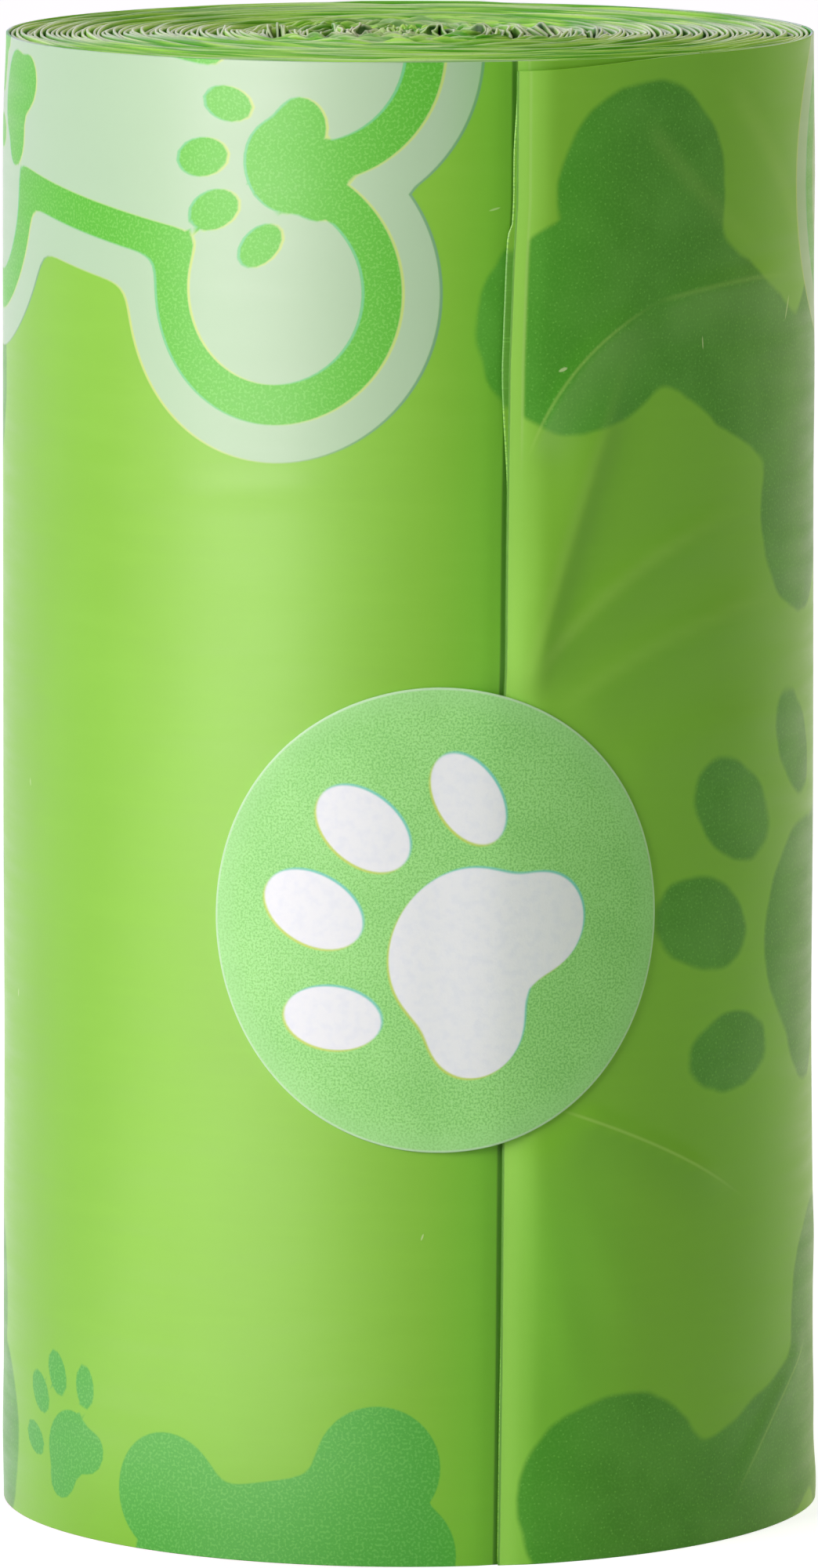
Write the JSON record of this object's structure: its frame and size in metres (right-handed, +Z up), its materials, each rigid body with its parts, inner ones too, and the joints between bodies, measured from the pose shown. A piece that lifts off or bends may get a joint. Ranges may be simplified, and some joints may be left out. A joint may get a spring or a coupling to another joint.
{
  "type": "roll of dog poop bags",
  "caption": "Coreless roll of thin green pet waste bags standing on end, its wound film edges showing on top and its loose end held by a round paper seal.",
  "frame": {"origin": "centre of the roll's lower end face, on the surface that it stands on", "axes": "+Z up along the axis of the roll, -Y towards the front, where the round seal and the film's loose end are"},
  "size_m": [0.0326, 0.0326, 0.06],
  "materials": {
    "film": "thin satin green polyethylene film, printed in paler and darker green",
    "seal": "satin coated paper, printed green with white"
  },
  "bodies": {
    "root": {"bag_roll": "film", "seal_sticker": "seal"}
  },
  "joints": []
}
